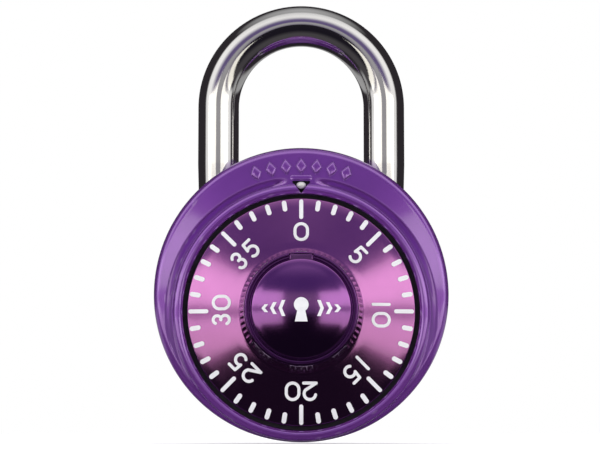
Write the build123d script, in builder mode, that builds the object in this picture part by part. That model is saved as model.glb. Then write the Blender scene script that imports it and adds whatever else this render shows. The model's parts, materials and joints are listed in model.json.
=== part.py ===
from build123d import *
import os
from math import cos, radians, sin, sqrt

# Round combination padlock, millimetres.
# The dial faces -Y, the shackle stands along +Z and the flat back lies at y = 0.
# A depth is a distance in front of the back face, so a depth d lies at y = -d.

# Case
CASE_R = 24.0
CASE_FRONT = 17.6
EDGE_R = 1.3
WALL = 0.8
FLANGE_RISE = 0.5
RIM_STEP = 1.0
COVER_R = 22.4
COVER_RIM_R = 23.1
CAVITY_R = 23.2
INNER_CASE_R = 22.9
INNER_CASE_FRONT = 16.8
PLATE_BACK = 1.8
PLATE_FRONT = 2.8
PLATE_R = 22.0

# Dial, bezel and knob, all on the dial axis
DIAL_Z = -3.0
DIAL_R = 18.4
DIAL_RIM = 18.9
DIAL_TOP = 20.4
DIAL_BACK = 18.0
BEZEL_IN = 19.1
BEZEL_OUT = 20.9
BEZEL_TOP = 19.8
WINDOW_TOP = 21.2
WINDOW_TIP = 19.5
WINDOW_HALF = 1.45
STUD_R = 20.6
STUD_HEAD_R = 0.72
LOZENGE_R = 24.1
KNOB_R = 10.1
KNOB_TOP_R = 9.05
KNOB_BASE = 20.6
KNOB_TOP = 26.6
CAP_R = 7.9
CAP_BACK = 25.6
CAP_EDGE = 27.0
CAP_TOP = 28.1
TAB_W = 3.7
TAB_R = 8.6
RIDGES = 64
PAINT = 0.12
DIVISIONS = 40
NUMERAL_R = 12.85
NUMERAL_H = 3.1
NUMERAL_W = 2.5
STROKE = 0.48

# Shackle
LEG_R = 3.4
LEG_NECK_R = 3.23
LEG_X = 13.85
LEG_D = 9.7
BOW_Z = 31.8
NECK_Z = 22.1
TOE_Z = 11.6
HEEL_Z = -5.5
GUIDE_IN = 3.65
GUIDE_OUT = 4.25
TOE_GUIDE_Z = 17.6
HEEL_GUIDE_Z = 9.7
RETAINER_Z = -2.8

# Wheel pack
WHEEL_R = 9.4
WHEEL_T = 1.4
REAR_WHEEL_D = 3.5
MIDDLE_WHEEL_D = 5.9
CAM_D = 9.6
CAM_T = 1.6
POST_R = 2.4
POST_BORE_R = 1.25
TAIL_R = 1.2
SPINDLE_R = 2.4
SQUARE = 3.0
GATE_W = 3.2
GATE_DEPTH = 2.0
FLY_R = 7.1

# Levers
LEVER_PIVOT = (7.6, 11.0)
LATCH_PIVOT = (-5.0, 10.5)
LEVER_D = 6.5
LEVER_T = 1.2
LATCH_D = 8.5
LATCH_T = 2.4
PIN_R = 1.0
SHOULDER_R = 1.6
HUB_R = 2.0
PILLARS = [(1.5, 19.0), (-18.2, 2.5), (-13.5, -14.5), (13.5, -14.5)]

CASE_AXIS = Axis((0, 0, 0), (0, 1, 0))
DIAL_AXIS = Axis((0, 0, DIAL_Z), (0, 1, 0))

os.makedirs("parts", exist_ok=True)


def facing(depth, z=0.0):
    """Sketch plane that faces the front, at a depth, with local x = X and local y = Z."""
    return Plane(origin=(0, -depth, z), x_dir=(1, 0, 0), z_dir=(0, -1, 0))


def profile(z=0.0):
    """Sketch plane for turned profiles, with local x = radius and local y = depth."""
    return Plane(origin=(0, 0, z), x_dir=(1, 0, 0), z_dir=(0, 0, -1))


def turned(points, axis, z, mode=Mode.ADD):
    """Revolve a closed outline of (radius, depth) points."""
    with BuildSketch(profile(z)) as outline:
        Polygon(*points, align=None)
    revolve(outline.sketch, axis=axis, mode=mode)


def ring(r_in, r_out, d_back, d_front, axis=DIAL_AXIS, z=DIAL_Z, mode=Mode.ADD):
    """Revolve a plain ring."""
    turned([(r_in, d_back), (r_out, d_back), (r_out, d_front), (r_in, d_front)], axis, z, mode)


def save(part, name):
    """Label a sub-part and write its STEP file."""
    part.part.label = name
    export_step(part.part, f"parts/{name}.step")


def dial_face(radius):
    """Depth of the conical dial face at a radius."""
    slope = (DIAL_TOP - DIAL_RIM) / (DIAL_R - KNOB_R)
    return DIAL_RIM + slope * (DIAL_R - radius)


# ---------------------------------------------------------------- case
with BuildPart() as front_shell:
    with BuildSketch(profile()):
        with BuildLine():
            Polyline(
                (17.0, CASE_FRONT + FLANGE_RISE),
                (CASE_R - EDGE_R, CASE_FRONT),
            )
            RadiusArc((CASE_R - EDGE_R, CASE_FRONT), (CASE_R, CASE_FRONT - EDGE_R), EDGE_R)
            Line((CASE_R, CASE_FRONT - EDGE_R), (CASE_R, EDGE_R))
            RadiusArc((CASE_R, EDGE_R), (CASE_R - EDGE_R, 0.1), EDGE_R)
            Polyline(
                (CASE_R - EDGE_R, 0.1),
                (COVER_R + 0.05, 0.1),
                (COVER_R + 0.05, RIM_STEP),
                (CAVITY_R, RIM_STEP),
                (CAVITY_R, INNER_CASE_FRONT),
                (17.0, INNER_CASE_FRONT),
                (17.0, CASE_FRONT + FLANGE_RISE),
            )
        make_face()
    revolve(axis=CASE_AXIS)
    # rounded bead round the dial, standing up from the flange
    with BuildSketch(profile(DIAL_Z)):
        with BuildLine():
            Line((BEZEL_IN, INNER_CASE_FRONT), (BEZEL_IN, BEZEL_TOP - 0.7))
            RadiusArc((BEZEL_IN, BEZEL_TOP - 0.7), (BEZEL_IN + 0.9, BEZEL_TOP), 0.8)
            Spline(
                (BEZEL_IN + 0.9, BEZEL_TOP),
                (BEZEL_OUT - 0.35, BEZEL_TOP - 0.75),
                (BEZEL_OUT, CASE_FRONT - 0.1),
                tangents=[(1, 0), (0.3, -1)],
            )
            Polyline(
                (BEZEL_OUT, CASE_FRONT - 0.1),
                (BEZEL_OUT, INNER_CASE_FRONT),
                (BEZEL_IN, INNER_CASE_FRONT),
            )
        make_face()
    revolve(axis=DIAL_AXIS)
    with BuildSketch(facing(INNER_CASE_FRONT - 0.5, DIAL_Z)):
        Circle(BEZEL_IN)
    extrude(amount=5, mode=Mode.SUBTRACT)
    # the bead is hollow behind, as pressed sheet is
    ring(BEZEL_IN + 0.7, BEZEL_IN + 1.2, INNER_CASE_FRONT - 0.1, BEZEL_TOP - 0.8, mode=Mode.SUBTRACT)
    # index window, a triangle that points down at the dial
    with BuildSketch(facing(INNER_CASE_FRONT - 0.1, DIAL_Z)):
        Polygon(
            (-WINDOW_HALF, WINDOW_TOP),
            (WINDOW_HALF, WINDOW_TOP),
            (0.15, WINDOW_TIP),
            (-0.15, WINDOW_TIP),
            align=None,
        )
    extrude(amount=5, mode=Mode.SUBTRACT)
    # raised pad above the window and a row of lozenges above the pad
    with BuildSketch(facing(CASE_FRONT - 0.3, DIAL_Z)):
        with Locations((0, WINDOW_TOP + 0.55)):
            RectangleRounded(3.6, 0.8, 0.35)
        for place in range(-3, 4):
            turn = 6 * place
            with Locations((LOZENGE_R * sin(radians(turn)), LOZENGE_R * cos(radians(turn)))):
                Polygon((0, 1.1), (0.8, 0), (0, -1.1), (-0.8, 0), align=None, rotation=-turn)
    extrude(amount=0.75)
    for x in (-LEG_X, LEG_X):
        with BuildSketch(Plane.XY.offset(10)):
            with Locations((x, -LEG_D)):
                Circle(GUIDE_OUT + 0.02)
        extrude(amount=16, mode=Mode.SUBTRACT)
save(front_shell, "front_shell")

with BuildPart() as rear_cover:
    turned(
        [
            (0, 0),
            (COVER_R - 0.5, 0),
            (COVER_R, 0.4),
            (COVER_R, RIM_STEP),
            (COVER_RIM_R, RIM_STEP),
            (COVER_RIM_R, PLATE_BACK),
            (COVER_R - WALL, PLATE_BACK),
            (COVER_R - WALL, WALL),
            (0, WALL),
        ],
        CASE_AXIS,
        0,
    )
    # pressed stiffening groove in the back
    ring(17.0, 17.8, -1, 0.3, CASE_AXIS, 0, Mode.SUBTRACT)
save(rear_cover, "rear_cover")

with BuildPart() as inner_case:
    turned(
        [
            (0, INNER_CASE_FRONT - WALL),
            (INNER_CASE_R - WALL, INNER_CASE_FRONT - WALL),
            (INNER_CASE_R - WALL, PLATE_BACK),
            (INNER_CASE_R, PLATE_BACK),
            (INNER_CASE_R, INNER_CASE_FRONT - 0.9),
            (INNER_CASE_R - 0.9, INNER_CASE_FRONT),
            (0, INNER_CASE_FRONT),
        ],
        CASE_AXIS,
        0,
    )
    with BuildSketch(facing(INNER_CASE_FRONT - WALL - 0.1, DIAL_Z)):
        Circle(3.42)
    extrude(amount=2, mode=Mode.SUBTRACT)
    for x in (-LEG_X, LEG_X):
        with BuildSketch(Plane.XY.offset(10)):
            with Locations((x, -LEG_D)):
                Circle(GUIDE_OUT + 0.02)
        extrude(amount=14, mode=Mode.SUBTRACT)
    with BuildSketch(facing(INNER_CASE_FRONT - WALL - 0.1)):
        with Locations(*PILLARS):
            Circle(0.82)
    extrude(amount=2, mode=Mode.SUBTRACT)
save(inner_case, "inner_case")

with BuildPart() as rear_plate:
    with BuildSketch(facing(PLATE_BACK)):
        Circle(PLATE_R)
        with Locations(*PILLARS):
            Circle(0.82, mode=Mode.SUBTRACT)
        with Locations(LEVER_PIVOT, LATCH_PIVOT):
            Circle(PIN_R + 0.02, mode=Mode.SUBTRACT)
        with Locations((0, DIAL_Z)):
            Circle(POST_R + 0.02, mode=Mode.SUBTRACT)
    extrude(amount=PLATE_FRONT - PLATE_BACK)
save(rear_plate, "rear_plate")

with BuildPart() as frame_pillars:
    with BuildSketch(facing(PLATE_FRONT)):
        with Locations(*PILLARS):
            Circle(1.25)
    extrude(amount=INNER_CASE_FRONT - WALL - PLATE_FRONT)
    with BuildSketch(facing(PLATE_BACK)):
        with Locations(*PILLARS):
            Circle(0.8)
    extrude(amount=INNER_CASE_FRONT - PLATE_BACK)
save(frame_pillars, "frame_pillars")

with BuildPart() as index_stud:
    with BuildSketch(facing(INNER_CASE_FRONT, DIAL_Z)):
        with Locations((0, STUD_R)):
            Circle(0.5)
    extrude(amount=2.1)
    with BuildSketch(facing(INNER_CASE_FRONT + 2.1, DIAL_Z)):
        with Locations((0, STUD_R)):
            Circle(STUD_HEAD_R)
    extrude(amount=0.6)
    fillet(index_stud.edges().group_by(Axis.Y)[0], 0.45)
save(index_stud, "index_stud")

# ---------------------------------------------------------------- dial and knob
with BuildPart() as dial_plate:
    with BuildSketch(profile(DIAL_Z)):
        with BuildLine():
            Polyline((3.02, DIAL_TOP + 0.2), (3.02, DIAL_BACK), (DIAL_R - 0.3, DIAL_BACK))
            RadiusArc((DIAL_R - 0.3, DIAL_BACK), (DIAL_R, DIAL_BACK + 0.3), -0.3)
            Line((DIAL_R, DIAL_BACK + 0.3), (DIAL_R, DIAL_RIM - 0.15))
            Line((DIAL_R, DIAL_RIM - 0.15), (DIAL_R - 0.1, dial_face(DIAL_R - 0.1)))
            Line((DIAL_R - 0.1, dial_face(DIAL_R - 0.1)), (KNOB_R - 0.1, dial_face(KNOB_R - 0.1)))
            Polyline(
                (KNOB_R - 0.1, dial_face(KNOB_R - 0.1)),
                (KNOB_R - 0.6, KNOB_BASE),
                (3.02, KNOB_BASE),
                (3.02, DIAL_TOP + 0.2),
            )
        make_face()
    revolve(axis=DIAL_AXIS)
save(dial_plate, "dial_plate")

# Numerals are drawn with rounded strokes, because they are pressed into the dial.
HALF_W = NUMERAL_W / 2 - STROKE / 2
HALF_H = NUMERAL_H / 2 - STROKE / 2


def stroke(start, end):
    """Straight stroke with rounded ends."""
    middle = ((start[0] + end[0]) / 2, (start[1] + end[1]) / 2)
    SlotCenterPoint(middle, end, STROKE)


def bowl(centre, radius, start, sweep_angle):
    """Curved stroke with rounded ends."""
    SlotArc(CenterArc(centre, radius, start, sweep_angle, mode=Mode.PRIVATE), STROKE)


with BuildSketch() as zero:
    SlotOverall(NUMERAL_H, NUMERAL_W, rotation=90)
    SlotOverall(NUMERAL_H - 2 * STROKE, NUMERAL_W - 2 * STROKE, rotation=90, mode=Mode.SUBTRACT)

with BuildSketch() as one:
    stroke((0.3, -HALF_H), (0.3, HALF_H))

with BuildSketch() as two:
    bowl((0, HALF_H - 0.92), 0.92, 170, -210)
    stroke((0.92 * cos(radians(40)), HALF_H - 0.92 - 0.92 * sin(radians(40))), (-HALF_W, -HALF_H))
    stroke((-HALF_W, -HALF_H), (HALF_W, -HALF_H))

with BuildSketch() as three:
    bowl((0, HALF_H - 0.64), 0.64, 155, -245)
    bowl((0, -HALF_H + 0.7), 0.7, 90, -245)

with BuildSketch() as five:
    bowl((-0.05, -HALF_H + 0.84), 0.84, 135, -270)
    stroke((-0.64, -HALF_H + 1.43), (-0.5, HALF_H))
    stroke((-0.5, HALF_H), (0.8, HALF_H))

DIGITS = {"0": zero, "1": one, "2": two, "3": three, "5": five}


def paint_layer(r_in, r_out):
    """Keep only the thin conical layer that lies on the dial face."""
    turned(
        [
            (r_in, dial_face(r_in)),
            (r_out, dial_face(r_out)),
            (r_out, dial_face(r_out) + PAINT),
            (r_in, dial_face(r_in) + PAINT),
        ],
        DIAL_AXIS,
        DIAL_Z,
        Mode.INTERSECT,
    )


with BuildPart() as dial_numerals:
    with BuildSketch(facing(DIAL_BACK, DIAL_Z)):
        for number in range(0, DIVISIONS, 5):
            turn = -360 * number / DIVISIONS
            text = str(number)
            for place, digit in enumerate(text):
                shift = (place - (len(text) - 1) / 2) * (NUMERAL_W + 0.27)
                x = shift * cos(radians(turn)) - NUMERAL_R * sin(radians(turn))
                y = shift * sin(radians(turn)) + NUMERAL_R * cos(radians(turn))
                with Locations(Location((x, y, 0), (0, 0, turn))):
                    add(DIGITS[digit].sketch)
    extrude(amount=4)
    paint_layer(KNOB_R + 0.2, 15.6)
save(dial_numerals, "dial_numerals")

with BuildPart() as dial_graduations:
    with BuildSketch(facing(DIAL_BACK, DIAL_Z)):
        for division in range(DIVISIONS):
            turn = radians(360 * division / DIVISIONS)
            length, width = (3.25, 0.65) if division % 5 == 0 else (1.8, 0.75)
            middle = 18.2 - length / 2
            with Locations((middle * sin(turn), middle * cos(turn))):
                SlotOverall(length, width, rotation=90 - 360 * division / DIVISIONS)
    extrude(amount=4)
    paint_layer(14.0, DIAL_R - 0.12)
save(dial_graduations, "dial_graduations")

with BuildPart() as knob:
    for depth, radius in ((KNOB_BASE + 0.5, KNOB_R), (KNOB_TOP - 0.4, KNOB_TOP_R)):
        with BuildSketch(facing(depth, DIAL_Z)):
            outline = []
            for i in range(2 * RIDGES):
                r = radius - 0.34 * (i % 2)
                turn = radians(180 * (i + 0.5) / RIDGES)
                outline.append((r * sin(turn), r * cos(turn)))
            Polygon(*outline, align=None)
    loft(ruled=True)
    # smooth collar below the ridges and bevelled ring in front of them
    turned(
        [(3.02, KNOB_BASE), (KNOB_R - 0.15, KNOB_BASE), (KNOB_R, KNOB_BASE + 0.2),
         (KNOB_R, KNOB_BASE + 0.6), (3.02, KNOB_BASE + 0.6)],
        DIAL_AXIS,
        DIAL_Z,
    )
    turned(
        [(3.02, KNOB_TOP - 0.6), (KNOB_TOP_R, KNOB_TOP - 0.6), (KNOB_TOP_R, KNOB_TOP - 0.1),
         (KNOB_TOP_R - 0.35, KNOB_TOP + 0.2), (CAP_R - 0.5, KNOB_TOP + 0.2), (3.02, KNOB_TOP - 0.2)],
        DIAL_AXIS,
        DIAL_Z,
    )
    with BuildSketch(facing(CAP_BACK, DIAL_Z)):
        Circle(CAP_R + 0.06)
        with Locations((0, TAB_R / 2)):
            Rectangle(TAB_W + 0.12, TAB_R + 0.1)
    extrude(amount=4, mode=Mode.SUBTRACT)
    with BuildSketch(facing(KNOB_BASE - 0.1, DIAL_Z)):
        Circle(3.02)
    extrude(amount=3.6, mode=Mode.SUBTRACT)
save(knob, "knob")

DOME_R = ((CAP_R - 0.3) ** 2 + (CAP_TOP - CAP_EDGE) ** 2) / (2 * (CAP_TOP - CAP_EDGE))


def dome_depth(radius, lift=0.0):
    """Depth of the cap's domed face at a radius."""
    return CAP_TOP + lift - DOME_R + sqrt(DOME_R**2 - radius**2)


with BuildPart() as knob_cap:
    with BuildSketch(profile(DIAL_Z)):
        with BuildLine():
            Polyline(
                (0, CAP_TOP),
                (0, CAP_BACK),
                (CAP_R, CAP_BACK),
                (CAP_R, CAP_EDGE - 0.3),
                (CAP_R - 0.3, CAP_EDGE),
            )
            ThreePointArc(
                (CAP_R - 0.3, CAP_EDGE), (CAP_R / 2, dome_depth(CAP_R / 2)), (0, CAP_TOP)
            )
        make_face()
    revolve(axis=DIAL_AXIS)
    with BuildSketch(facing(CAP_BACK, DIAL_Z)):
        with Locations((0, CAP_R - 0.5 + (TAB_R - CAP_R + 0.5) / 2)):
            Rectangle(TAB_W, TAB_R - CAP_R + 0.5)
    extrude(amount=KNOB_TOP + 0.3 - CAP_BACK)
save(knob_cap, "knob_cap")

with BuildPart() as cap_emblem:
    with BuildSketch(facing(CAP_EDGE - 0.5, DIAL_Z)):
        with Locations((0, 0.55)):
            Circle(1.15)
        Polygon((-0.55, 0), (0.55, 0), (1.0, -2.1), (-1.0, -2.1), align=None)
        for side in (-1, 1):
            for place in range(3):
                x = side * (2.5 + 1.35 * place)
                half = 1.25 - 0.32 * place
                Polygon(
                    (x, half), (x + side * 0.55, half), (x + side * 1.05, 0),
                    (x + side * 0.55, -half), (x, -half), (x + side * 0.5, 0),
                    align=None,
                )
    extrude(amount=3)
    with BuildSketch(profile(DIAL_Z)):
        with BuildLine():
            ThreePointArc(
                (0, CAP_TOP), (CAP_R / 2, dome_depth(CAP_R / 2)), (CAP_R - 0.5, dome_depth(CAP_R - 0.5))
            )
            Line(
                (CAP_R - 0.5, dome_depth(CAP_R - 0.5)),
                (CAP_R - 0.5, dome_depth(CAP_R - 0.5, PAINT)),
            )
            ThreePointArc(
                (CAP_R - 0.5, dome_depth(CAP_R - 0.5, PAINT)),
                (CAP_R / 2, dome_depth(CAP_R / 2, PAINT)),
                (0, CAP_TOP + PAINT),
            )
            Line((0, CAP_TOP + PAINT), (0, CAP_TOP))
        make_face()
    revolve(axis=DIAL_AXIS, mode=Mode.INTERSECT)
save(cap_emblem, "cap_emblem")

# ---------------------------------------------------------------- spindle and wheel pack
with BuildPart() as dial_bushing:
    ring(SPINDLE_R + 0.05, 3.4, 13.0, INNER_CASE_FRONT)
    ring(SPINDLE_R + 0.05, 5.0, INNER_CASE_FRONT, INNER_CASE_FRONT + 0.5)
save(dial_bushing, "dial_bushing")

with BuildPart() as spindle:
    ring(0, TAIL_R, 4.0, CAM_D)
    ring(0, SPINDLE_R, CAM_D + CAM_T, DIAL_BACK)
    ring(0, 4.0, DIAL_BACK - 0.5, DIAL_BACK)
    ring(0, 3.0, DIAL_BACK, 24.0)
    with BuildSketch(facing(CAM_D, DIAL_Z)):
        Rectangle(SQUARE, SQUARE)
    extrude(amount=CAM_T)
    ring(1.9, 3.0, 12.2, 12.8, mode=Mode.SUBTRACT)
save(spindle, "spindle")

with BuildPart() as spindle_clip:
    with BuildSketch(facing(12.25, DIAL_Z)):
        Circle(3.6)
        Circle(1.92, mode=Mode.SUBTRACT)
        with Locations((0, -3)):
            Rectangle(2.4, 4, mode=Mode.SUBTRACT)
    extrude(amount=0.5)
save(spindle_clip, "spindle_clip")


def gate(turn, height=GATE_DEPTH):
    """Cut one gate through a wheel's rim, open to the outside."""
    middle = WHEEL_R - height / 2 + 0.5
    with Locations((-middle * sin(radians(turn)), middle * cos(radians(turn)))):
        Rectangle(GATE_W, height + 1, rotation=turn, mode=Mode.SUBTRACT)


def fly(turn, depth, length):
    """Raise the small tab by which one wheel carries the next."""
    with BuildSketch(facing(depth, DIAL_Z)) as tab:
        with Locations((-FLY_R * sin(radians(turn)), FLY_R * cos(radians(turn)))):
            Rectangle(0.9, 1.2, rotation=turn)
    extrude(tab.sketch, amount=length)


def wheel_blank(depth, bore, gates, holes):
    """Flat wheel with a bore, gates in the rim and lightening holes."""
    with BuildSketch(facing(depth, DIAL_Z)) as blank:
        Circle(WHEEL_R)
        Circle(bore, mode=Mode.SUBTRACT)
        for turn in gates:
            gate(turn)
        with PolarLocations(5.0, holes, start_angle=45):
            Circle(0.9, mode=Mode.SUBTRACT)
    extrude(blank.sketch, amount=WHEEL_T)


with BuildPart() as drive_cam:
    with BuildSketch(facing(CAM_D, DIAL_Z)):
        Circle(WHEEL_R)
        Rectangle(SQUARE + 0.04, SQUARE + 0.04, mode=Mode.SUBTRACT)
        for notch in range(12):
            gate(30 * notch)
    extrude(amount=CAM_T)
    fly(15, 8.4, CAM_D - 8.4)
save(drive_cam, "drive_cam")

with BuildPart() as middle_wheel:
    wheel_blank(MIDDLE_WHEEL_D, POST_R + 0.05, [0], 4)
    fly(180, MIDDLE_WHEEL_D + WHEEL_T, 1.3)
    fly(120, MIDDLE_WHEEL_D - 0.6, 0.6)
save(middle_wheel, "middle_wheel")

with BuildPart() as rear_wheel:
    wheel_blank(REAR_WHEEL_D, POST_R + 0.05, [0], 6)
    fly(225, REAR_WHEEL_D + WHEEL_T, 0.6)
save(rear_wheel, "rear_wheel")

with BuildPart() as wheel_post:
    ring(POST_BORE_R, POST_R, PLATE_BACK, 9.3)
    ring(POST_BORE_R, 4.2, PLATE_FRONT, 3.3)
    ring(POST_BORE_R, 3.1, 8.9, 9.3)
save(wheel_post, "wheel_post")

with BuildPart() as rear_spacer:
    ring(POST_R + 0.02, 4.4, 5.1, 5.5)
save(rear_spacer, "rear_spacer")

with BuildPart() as front_spacer:
    ring(POST_R + 0.02, 4.4, 7.5, 7.9)
save(front_spacer, "front_spacer")

with BuildPart() as disc_spring:
    turned(
        [(2.5, 8.6), (4.4, 7.9), (4.6, 7.9), (4.6, 8.1), (2.7, 8.9), (2.5, 8.9)],
        DIAL_AXIS,
        DIAL_Z,
    )
save(disc_spring, "disc_spring")

# ---------------------------------------------------------------- levers and latch
with BuildPart() as fence_lever:
    with BuildSketch(facing(LEVER_D)):
        with BuildLine():
            Line(LEVER_PIVOT, (0, 8.5))
        trace(line_width=2.2)
        with Locations(LEVER_PIVOT):
            Circle(HUB_R)
        with Locations((0, 8.3)):
            Circle(1.1)
        with Locations(LEVER_PIVOT):
            Circle(PIN_R + 0.06, mode=Mode.SUBTRACT)
    extrude(amount=LEVER_T)
    # fence bar that lies across all three wheels
    with BuildSketch(facing(REAR_WHEEL_D - 0.1)):
        with Locations((0, 7.7)):
            Rectangle(1.3, 2.0)
    extrude(amount=CAM_D + CAM_T + 0.2 - REAR_WHEEL_D)
save(fence_lever, "fence_lever")

LEG_FACE = -LEG_X + LEG_R
with BuildPart() as latch:
    with BuildSketch(facing(LATCH_D)):
        Polygon(
            (LEG_FACE - 0.5, 14.6),
            (LEG_FACE - 0.5, 15.8),
            (LEG_FACE + 0.6, 16.8),
            (-7.2, 16.0),
            (-3.2, 11.4),
            (-6.2, 9.2),
            (LEG_FACE + 0.6, 12.9),
            align=None,
        )
        with Locations(LATCH_PIVOT):
            Circle(HUB_R)
        with Locations(LATCH_PIVOT):
            Circle(PIN_R + 0.06, mode=Mode.SUBTRACT)
    extrude(amount=LATCH_T)
save(latch, "latch")


def pivot_pin(centre, seat, head):
    """Shouldered pivot pin riveted into the rear plate, with a cap over its lever."""
    for depth, radius, length in (
        (PLATE_BACK, PIN_R, head + 0.7 - PLATE_BACK),
        (PLATE_FRONT, SHOULDER_R, seat - 0.2 - PLATE_FRONT),
        (head, SHOULDER_R, 0.7),
    ):
        with BuildSketch(facing(depth)) as disc:
            with Locations(centre):
                Circle(radius)
        extrude(disc.sketch, amount=length)


with BuildPart() as lever_pin:
    pivot_pin(LEVER_PIVOT, LEVER_D, LEVER_D + LEVER_T + 0.2)
save(lever_pin, "lever_pin")

with BuildPart() as latch_pin:
    pivot_pin(LATCH_PIVOT, LATCH_D, LATCH_D + LATCH_T + 0.2)
save(latch_pin, "latch_pin")


def torsion_spring(centre, depth, height, wire=0.22, coil=2.15):
    """Closely wound coil round a pin's shoulder."""
    with BuildLine() as winding:
        Helix(
            pitch=height / 4, height=height, radius=coil,
            center=(centre[0], -depth, centre[1]), direction=(0, -1, 0),
        )
    with BuildSketch(Plane(origin=winding.line @ 0, z_dir=winding.line % 0)) as section:
        Circle(wire)
    sweep(section.sketch, path=winding.line, is_frenet=True)


with BuildPart() as lever_spring:
    torsion_spring(LEVER_PIVOT, PLATE_FRONT + 0.35, LEVER_D - PLATE_FRONT - 0.7)
save(lever_spring, "lever_spring")

with BuildPart() as latch_spring:
    torsion_spring(LATCH_PIVOT, PLATE_FRONT + 0.35, LATCH_D - PLATE_FRONT - 0.7)
save(latch_spring, "latch_spring")

# ---------------------------------------------------------------- shackle
with BuildPart() as shackle:
    with BuildLine():
        toe_leg = Line((-LEG_X, -LEG_D, NECK_Z), (-LEG_X, -LEG_D, BOW_Z))
        bow = ThreePointArc(toe_leg @ 1, (0, -LEG_D, BOW_Z + LEG_X), (LEG_X, -LEG_D, BOW_Z))
        Line(bow @ 1, (LEG_X, -LEG_D, NECK_Z))
    with BuildSketch(Plane.XY.offset(NECK_Z)):
        with Locations((-LEG_X, -LEG_D)):
            Circle(LEG_R)
    sweep()
    for x, end in ((-LEG_X, TOE_Z), (LEG_X, HEEL_Z)):
        with BuildSketch(Plane.XY.offset(end + 0.6)):
            with Locations((x, -LEG_D)):
                Circle(LEG_NECK_R)
        extrude(amount=NECK_Z - end - 0.6)
        with BuildSketch(Plane.XY.offset(end)):
            with Locations((x, -LEG_D)):
                Circle(LEG_NECK_R - 0.6)
        with BuildSketch(Plane.XY.offset(end + 0.6)):
            with Locations((x, -LEG_D)):
                Circle(LEG_NECK_R)
        loft()
    # locking notch on the toe leg's inner side
    with BuildSketch(facing(LEG_D - 5)):
        Polygon(
            (LEG_FACE + 0.3, 12.2),
            (LEG_FACE - 0.8, 13.9),
            (LEG_FACE - 0.8, 16.2),
            (LEG_FACE + 0.3, 17.3),
            align=None,
        )
    extrude(amount=10, mode=Mode.SUBTRACT)
    # groove for the retainer on the heel leg
    with BuildSketch(Plane.XY.offset(RETAINER_Z - 0.7)):
        with Locations((LEG_X, -LEG_D)):
            Circle(LEG_R + 1)
            Circle(2.5, mode=Mode.SUBTRACT)
    extrude(amount=1.4, mode=Mode.SUBTRACT)
save(shackle, "shackle")

with BuildPart() as heel_retainer:
    with BuildSketch(Plane.XY.offset(RETAINER_Z - 0.5)):
        with Locations((LEG_X, -LEG_D)):
            Circle(3.9)
            Circle(2.58, mode=Mode.SUBTRACT)
        with Locations((LEG_X + 3, -LEG_D)):
            Rectangle(4, 3.2, mode=Mode.SUBTRACT)
    extrude(amount=1.0)
save(heel_retainer, "heel_retainer")


def leg_guide(x, bottom):
    """Tube that guides one leg, trimmed flush with the case's round wall."""
    with BuildSketch(Plane.XY.offset(bottom)) as wall:
        with Locations((x, -LEG_D)):
            Circle(GUIDE_OUT)
            Circle(GUIDE_IN, mode=Mode.SUBTRACT)
    extrude(wall.sketch, amount=CASE_R - bottom)
    with BuildSketch(facing(0)) as case_round:
        Circle(CASE_R)
    extrude(case_round.sketch, amount=CASE_FRONT, mode=Mode.INTERSECT)


with BuildPart() as toe_guide:
    leg_guide(-LEG_X, TOE_GUIDE_Z)
save(toe_guide, "toe_guide")

with BuildPart() as heel_guide:
    leg_guide(LEG_X, HEEL_GUIDE_Z)
save(heel_guide, "heel_guide")
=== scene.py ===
import json
from math import cos, pi, radians, sin, sqrt

import bmesh
import bpy
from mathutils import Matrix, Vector


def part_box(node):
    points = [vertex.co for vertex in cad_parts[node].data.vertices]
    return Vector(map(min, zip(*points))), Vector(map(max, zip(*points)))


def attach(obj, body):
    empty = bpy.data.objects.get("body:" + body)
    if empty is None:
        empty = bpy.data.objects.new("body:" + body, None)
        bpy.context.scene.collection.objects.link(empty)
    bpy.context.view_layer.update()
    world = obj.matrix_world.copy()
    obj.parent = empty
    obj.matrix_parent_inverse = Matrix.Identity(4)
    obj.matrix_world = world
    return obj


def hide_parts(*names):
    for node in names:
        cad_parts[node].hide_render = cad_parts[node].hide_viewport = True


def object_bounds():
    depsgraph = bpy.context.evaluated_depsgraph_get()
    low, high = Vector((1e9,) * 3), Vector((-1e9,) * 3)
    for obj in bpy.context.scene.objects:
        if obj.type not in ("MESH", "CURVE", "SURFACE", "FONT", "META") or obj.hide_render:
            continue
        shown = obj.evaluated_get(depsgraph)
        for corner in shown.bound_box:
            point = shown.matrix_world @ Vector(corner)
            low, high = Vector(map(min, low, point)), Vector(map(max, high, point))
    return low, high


# Round combination padlock. Lengths are in metres, and angles in degrees unless a docstring says otherwise.
# The dial faces -Y. A depth is a distance in front of the flat back, so depth d lies at y = -d.
# The case's axis is the Y axis, and the dial's axis runs beside it at z = DIAL_Z.

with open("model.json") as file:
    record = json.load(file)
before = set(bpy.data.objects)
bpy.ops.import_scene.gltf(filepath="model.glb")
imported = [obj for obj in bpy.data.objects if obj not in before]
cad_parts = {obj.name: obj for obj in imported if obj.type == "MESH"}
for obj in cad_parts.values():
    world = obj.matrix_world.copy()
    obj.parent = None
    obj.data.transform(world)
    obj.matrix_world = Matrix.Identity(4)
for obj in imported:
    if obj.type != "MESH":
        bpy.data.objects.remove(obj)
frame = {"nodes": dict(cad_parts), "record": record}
cad_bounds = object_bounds()

MM = 0.001
X, Y, Z = 0, 1, 2


def node_span(name, axis):
    """Lowest and highest coordinate of a CAD node along an axis."""
    low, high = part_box(name)
    return low[axis], high[axis]


def front_depth(name):
    """Depth of a CAD node's front."""
    return -node_span(name, Y)[0]


def back_depth(name):
    """Depth of a CAD node's back."""
    return -node_span(name, Y)[1]


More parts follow.
